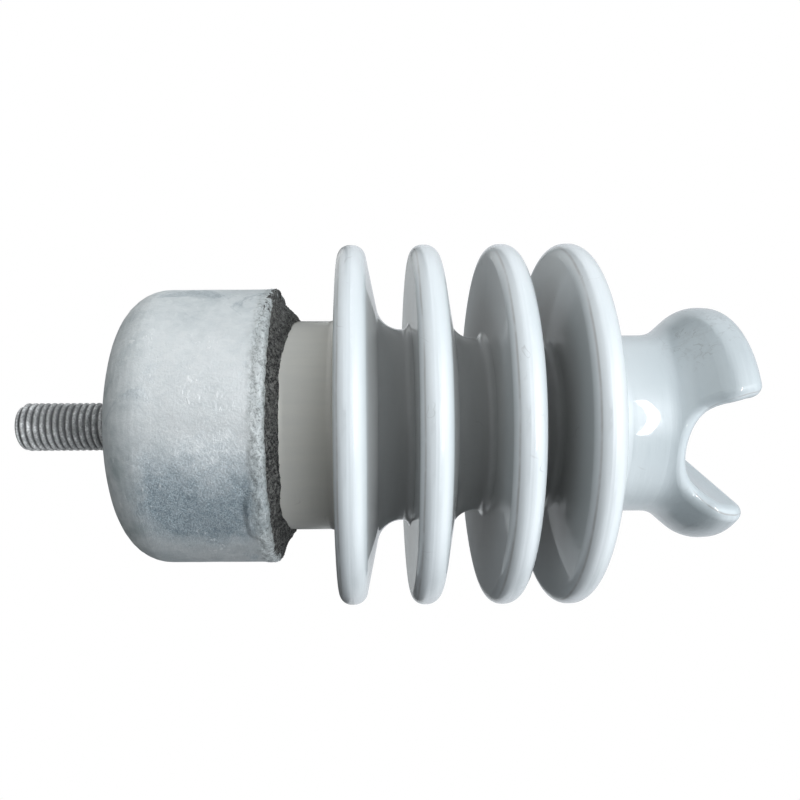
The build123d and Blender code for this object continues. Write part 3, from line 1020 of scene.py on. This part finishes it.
class INSULATOR_OT_galvanised_cap(bpy.types.Operator):
    """Make the galvanised cast base"""

    bl_idname = "insulator.galvanised_cap"
    bl_label = "Galvanised base"

    def execute(self, context):
        sizes = context.scene.insulator.cap
        rim_r, rim_z = CAP_HIGH.x, CAP_HIGH.z
        hole_r = STUD_HIGH.x + THREAD_CLEARANCE
        mouth_r = rim_r - sizes.mouth_wall
        bore_r = rim_r - sizes.wall
        mouth_z = rim_z - sizes.mouth_depth
        corners = [
            (hole_r, 0.0, 0.0),
            (rim_r, 0.0, sizes.corner),
            (rim_r, rim_z, sizes.rim_round),
            (mouth_r, rim_z, 0.0),
            (mouth_r, mouth_z, 0.0),
            (bore_r, mouth_z - (mouth_r - bore_r), 0.0),
            (bore_r, sizes.floor, 0.0),
            (hole_r, sizes.floor, 0.0),
        ]
        rounded_off = CORNER_SAVING * (sizes.corner + sizes.rim_round)
        skin = (rim_r - hole_r) + rim_z + sizes.mouth_wall - rounded_off
        inner = rim_z + (bore_r - hole_r)
        piece = outline_object("galvanised_cap", corners, closed=True)
        grown(
            piece, cap_tree(), around=sizes.around, rows=sizes.rows,
            skin_share=skin / (skin + inner), casting=sizes.casting, skin=sizes.skin,
            dross=sizes.dross, dross_depth=sizes.dross_depth, rim=rim_z,
            bore=bore_r - SEAT_MARGIN, material=zinc_material(sizes),
        )
        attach(piece, BODY)
        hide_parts("base_cap")
        return {"FINISHED"}


class INSULATOR_OT_sealed_joint(bpy.types.Operator):
    """Make the sanded coat over the cement"""

    bl_idname = "insulator.sealed_joint"
    bl_label = "Sealed joint"

    def execute(self, context):
        sizes = context.scene.insulator.seal
        neck_r = BODY_NECK_R + 0.02 * MM
        rim_z = CAP_HIGH.z
        corners = [
            (neck_r, SEAL_HIGH.z - 4.6 * MM, 0.0),
            (SEAL_HIGH.x - 0.6 * MM, rim_z - 1.6 * MM, 0.0),
            (CAP_HIGH.x - 1.4 * MM, rim_z - 2.6 * MM, 0.0),
            (CAP_HIGH.x + 0.05 * MM, rim_z - 2.3 * MM, 0.3 * MM),
            (CAP_HIGH.x - 0.3 * MM, rim_z + 0.1 * MM, 1.8 * MM),
            (SEAL_HIGH.x, rim_z + 0.35 * MM, 1.5 * MM),
            (neck_r, SEAL_HIGH.z + 0.2 * MM, 0.0),
        ]
        piece = outline_object("sealed_joint", corners, closed=True)
        grown(
            piece, seal_tree(), around=sizes.around, rows=sizes.rows, lumps=sizes.lumps,
            grit=sizes.grit, grain=sizes.grain, grains=sizes.grains, seed=11, neck=neck_r,
            edge=SEAL_HIGH.x, material=coat_material(sizes),
        )
        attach(piece, BODY)
        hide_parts("seal_coat")
        return {"FINISHED"}


class INSULATOR_OT_cement_fill(bpy.types.Operator):
    """Make the cement between foot and base, lower at its top than the coat over it"""

    bl_idname = "insulator.cement_fill"
    bl_label = "Cement fill"

    def execute(self, context):
        cap = context.scene.insulator.cap
        low = CAP_LOW.z + cap.floor + 0.1 * MM
        neck_r, band_r = BODY_NECK_R + 0.1 * MM, GRIT_HIGH.x + 0.6 * MM
        bore_r = CAP_HIGH.x - cap.wall - 0.6 * MM
        mouth_r = SEAL_HIGH.x
        mouth_z = CAP_HIGH.z - cap.mouth_depth
        corners = [
            (neck_r, low, 0.0),
            (bore_r, low, 0.0),
            (bore_r, mouth_z - 2 * MM, 0.0),
            (mouth_r, mouth_z, 0.0),
            (mouth_r, CAP_HIGH.z - 2.2 * MM, 0.0),
            (neck_r, CAP_HIGH.z - 0.5 * MM, 0.0),
            (neck_r, GRIT_HIGH.z + 0.1 * MM, 0.0),
            (band_r, GRIT_HIGH.z + 0.1 * MM, 0.0),
            (band_r, GRIT_LOW.z - 0.1 * MM, 0.0),
            (neck_r, GRIT_LOW.z - 0.1 * MM, 0.0),
        ]
        piece = outline_object("cement_fill", corners, closed=True)
        grown(piece, cement_tree(), around=160, rows=120, material=grainy_material(
            "portland_cement_finish", (0.21, 0.21, 0.20), (0.47, 0.46, 0.44), 900.0, 0.80, 0.2 * MM
        ))
        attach(piece, BODY)
        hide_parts("cement_joint")
        return {"FINISHED"}


class INSULATOR_OT_threaded_stud(bpy.types.Operator):
    """Cut the thread of the base stud"""

    bl_idname = "insulator.threaded_stud"
    bl_label = "Threaded stud"

    def execute(self, context):
        sizes = context.scene.insulator.stud
        radius, tip, top = STUD_HIGH.x, STUD_LOW.z, STUD_HIGH.z
        corners = [
            (0.0, tip, 0.0),
            (radius - 1.8 * MM, tip, 1.0 * MM),
            (radius, tip + sizes.lead, 2.0 * MM),
            (radius, top - 2 * MM, 0.0),
            (radius - 2 * MM, top, 0.0),
            (0.0, top, 0.0),
        ]
        piece = outline_object("threaded_stud", corners, closed=False)
        grown(
            piece, stud_tree(), around=sizes.around, rows=sizes.rows, pitch=sizes.pitch,
            depth=sizes.depth, radius=radius, material=stud_material(sizes),
        )
        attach(piece, BODY)
        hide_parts("stud")
        return {"FINISHED"}


# ---- Stage ---------------------------------------------------------------------------------------


def white_to_camera(graph, light):
    """White where the camera looks at it, and the given shader for all other rays."""
    seen = graph.node("ShaderNodeLightPath").outputs["Is Camera Ray"]
    white = graph.node("ShaderNodeEmission", {"Color": (1.0, 1.0, 1.0, 1.0), "Strength": 1.0})
    return graph.node("ShaderNodeMixShader", {0: seen, 1: light, 2: white.outputs[0]}).outputs[0]


def add_camera(sizes):
    """Camera beside the part, rolled so that the axis of the part runs across the picture."""
    data = bpy.data.cameras.new("portrait_camera")
    data.lens = sizes.lens
    data.sensor_width = 36.0
    data.shift_x = sizes.shift_x
    data.shift_y = sizes.shift_y
    data.clip_start = 0.01
    across = ALONG_AXIS * cos(sizes.roll) - VIEW_UP * sin(sizes.roll)
    up = ALONG_AXIS * sin(sizes.roll) + VIEW_UP * cos(sizes.roll)
    turn = Matrix((across, up, TOWARD_VIEWER)).transposed()
    place = TOWARD_VIEWER * sizes.distance + ALONG_AXIS * sizes.height
    camera = bpy.data.objects.new("portrait_camera", data)
    camera.matrix_world = Matrix.Translation(place) @ turn.to_4x4()
    bpy.context.scene.collection.objects.link(camera)
    bpy.context.scene.camera = camera


def add_floor():
    """Floor under the tip of the stud, white to the camera and dimmer in what the glaze mirrors."""
    half = FLOOR_SIDE / 2
    level = STUD_LOW.z
    mesh = bpy.data.meshes.new("studio_floor")
    corners = [(-half, -half), (half, -half), (half, half), (-half, half)]
    mesh.from_pydata([(x, y, level) for x, y in corners], [], [(0, 1, 2, 3)])
    floor = bpy.data.objects.new("studio_floor", mesh)
    bpy.context.scene.collection.objects.link(floor)
    material = bpy.data.materials.new("pale_floor")
    material.use_nodes = True
    material.node_tree.nodes.clear()
    graph = Graph(material.node_tree)
    place = graph.object_place()
    lit = graph.remap(graph.vector("DOT_PRODUCT", place, tuple(VIEW_UP)), -0.20, 0.30)
    near = graph.blend(lit, (0.09, 0.09, 0.09, 1.0), (0.66, 0.65, 0.63, 1.0))
    behind = graph.remap(graph.vector("DOT_PRODUCT", place, tuple(TOWARD_VIEWER)), -0.8, -2.2)
    far = graph.blend(behind, (0.08, 0.08, 0.08, 1.0), (0.45, 0.45, 0.44, 1.0))
    tone = graph.blend(graph.remap(graph.vector("LENGTH", place), 0.30, 1.3), near, far)
    matt = graph.node("ShaderNodeBsdfDiffuse", {"Color": tone}).outputs[0]
    output = graph.node("ShaderNodeOutputMaterial")
    graph.tree.links.new(white_to_camera(graph, matt), output.inputs["Surface"])
    mesh.materials.append(material)


def add_sky(sizes):
    """Soft light, brighter above than below in the portrait, with two broad glows."""
    world = bpy.data.worlds.new("studio_sky")
    bpy.context.scene.world = world
    world.use_nodes = True
    world.node_tree.nodes.clear()
    graph = Graph(world.node_tree)
    way = graph.node("ShaderNodeTexCoord").outputs["Generated"]
    z = graph.split(way)[2]
    facing = graph.vector("DOT_PRODUCT", way, tuple(TOWARD_VIEWER))
    level = graph.slide(graph.remap(facing, 0.25, 0.97), sizes.walls, sizes.front)
    across = graph.vector("DOT_PRODUCT", way, tuple(VIEW_UP))
    side = graph.remap(across, -0.75, 0.9, sizes.low_side, sizes.high_side)
    level = graph.math("MULTIPLY", level, side)
    level = graph.slide(graph.remap(facing, -0.3, -0.7), level, sizes.backdrop)
    level = graph.slide(graph.remap(z, 0.15, 0.9), level, sizes.sky)
    glows = ((GLOW_HEADING, 8.0, sizes.glow), (FILL_HEADING, 6.0, sizes.fill))
    for heading, sharpness, brightness in glows:
        lobe = graph.vector("DOT_PRODUCT", way, tuple(heading.normalized()))
        lobe = graph.math("POWER", graph.math("MAXIMUM", lobe, 0.0), sharpness)
        level = graph.math("MULTIPLY_ADD", lobe, brightness, level)
    light = graph.node("ShaderNodeBackground", {"Color": DAYLIGHT, "Strength": level})
    output = graph.node("ShaderNodeOutputWorld")
    graph.tree.links.new(white_to_camera(graph, light.outputs[0]), output.inputs["Surface"])


def add_softbox(name, place, size, power):
    """Rectangular area light aimed at the middle of the part."""
    data = bpy.data.lights.new(name, "AREA")
    data.shape = "RECTANGLE"
    data.size, data.size_y = size
    data.energy = power
    lamp = bpy.data.objects.new(name, data)
    lamp.rotation_euler = (LIGHT_TARGET - place).to_track_quat("-Z", "Y").to_euler()
    lamp.location = place
    bpy.context.scene.collection.objects.link(lamp)


class INSULATOR_OT_studio(bpy.types.Operator):
    """Set up camera, floor and light"""

    bl_idname = "insulator.studio"
    bl_label = "Studio"

    def execute(self, context):
        sizes = context.scene.insulator.studio
        add_camera(sizes)
        add_floor()
        add_sky(sizes)
        add_softbox("key_light", KEY_PLACE, KEY_SIZE, sizes.key_power)
        context.scene.view_settings.view_transform = "Standard"
        context.scene.view_settings.gamma = sizes.gamma
        return {"FINISHED"}


# ---- Places on the part --------------------------------------------------------------------------

SHED_PITCHES = (27.3 * MM, 29.0 * MM, 24.9 * MM)  # from each shed to the next
SHED_RISES = tuple(accumulate(SHED_PITCHES, initial=0.0))
BODY_NECK_R = 41.2 * MM
THREAD_CLEARANCE = 0.05 * MM
SEAT_MARGIN = 14 * MM  # inside the bore, where the waves of the cap fade out
CORNER_SAVING = 0.43  # share of its radius that a rounding takes off the length of an outline


def on_side(forward, up, height):
    """A point by how far it lies toward the viewer, up in the portrait view, and up the axis."""
    return TOWARD_VIEWER * forward * MM + VIEW_UP * up * MM + ALONG_AXIS * height * MM


# Side, where the swell starts and is full (as the cosine round the axis), and its height
COLLAR_SWELLS = (
    (tuple(TOWARD_VIEWER), 0.0, 0.85, -2.7 * MM),
    (tuple(VIEW_UP), 0.45, 1.0, 1.9 * MM),
    (tuple(-VIEW_UP), 0.45, 1.0, -0.9 * MM),
)
EDGE_SWELLS = (
    (tuple(TOWARD_VIEWER), 0.45, 0.9, -1.3 * MM),
    (tuple(VIEW_UP), 0.0, 1.0, 0.15 * MM),
    (tuple(-TOWARD_VIEWER), 0.3, 0.9, -0.7 * MM),
)
DULL_CENTRE = on_side(46.0, -25.0, 36.0)
# Centre of the scuffed patch on the cap, which also carries a painted highlight.
SCUFF_HIGHLIGHT_CENTRE = on_side(52.0, 13.0, 38.0)
RUB_CENTRE = on_side(24.0, 30.0, 215.0)
WORN_CENTRE = on_side(8.0, 4.0, -29.0)
KEY_PLACE = on_side(420.0, 45.0, 345.0)
KEY_SIZE = (0.31, 0.009)
LIGHT_TARGET = Vector((0.0, 0.0, 0.11))
GLOW_HEADING = on_side(720.0, 200.0, 660.0)
FILL_HEADING = on_side(280.0, -750.0, 600.0)
DAYLIGHT = (0.95, 0.99, 1.03, 1.0)
FLOOR_SIDE = 12.0
ZINC_RUNS = (
    (on_side(43.6, -31.0, 53.5), (14 * MM, 14 * MM, 4.8 * MM), 0.9 * MM),
    (on_side(52.0, -12.0, 55.0), (9 * MM, 9 * MM, 2.8 * MM), 0.35 * MM),
    (on_side(48.0, 22.0, 55.5), (9 * MM, 9 * MM, 2.4 * MM), 0.30 * MM),
    (on_side(-30.0, 44.0, 53.5), (13 * MM, 13 * MM, 5.0 * MM), 1.0 * MM),
    (on_side(-46.0, -27.0, 54.0), (12 * MM, 12 * MM, 4.0 * MM), 0.8 * MM),
)


# ---- Sidebar and registration --------------------------------------------------------------------

OPERATORS = (
    INSULATOR_OT_studio,
    INSULATOR_OT_glazed_body,
    INSULATOR_OT_inner_fittings,
    INSULATOR_OT_galvanised_cap,
    INSULATOR_OT_cement_fill,
    INSULATOR_OT_sealed_joint,
    INSULATOR_OT_threaded_stud,
)


class INSULATOR_PT_sidebar(bpy.types.Panel):
    """Lists the pieces in the sidebar"""

    bl_idname = "INSULATOR_PT_sidebar"
    bl_label = "Insulator"
    bl_space_type = "VIEW_3D"
    bl_region_type = "UI"
    bl_category = "Insulator"

    def draw(self, context):
        settings = context.scene.insulator
        for operator in OPERATORS:
            self.layout.operator(operator.bl_idname)
        for group in (settings.glaze, settings.cap, settings.seal, settings.stud, settings.studio):
            box = self.layout.box()
            for name in group.bl_rna.properties.keys():
                if name not in {"name", "rna_type"}:
                    box.prop(group, name)


CLASSES = (
    InsulatorGlaze, InsulatorCap, InsulatorSeal, InsulatorStud, InsulatorStudio, Insulator,
    *OPERATORS, INSULATOR_PT_sidebar,
)


def register():
    for item in CLASSES:
        bpy.utils.register_class(item)
    bpy.types.Scene.insulator = PointerProperty(type=Insulator)


def unregister():
    del bpy.types.Scene.insulator
    for item in reversed(CLASSES):
        bpy.utils.unregister_class(item)


def main():
    register()
    for operator in OPERATORS:
        group, name = operator.bl_idname.split(".")
        getattr(getattr(bpy.ops, group), name)()


if __name__ == "__main__":
    main()
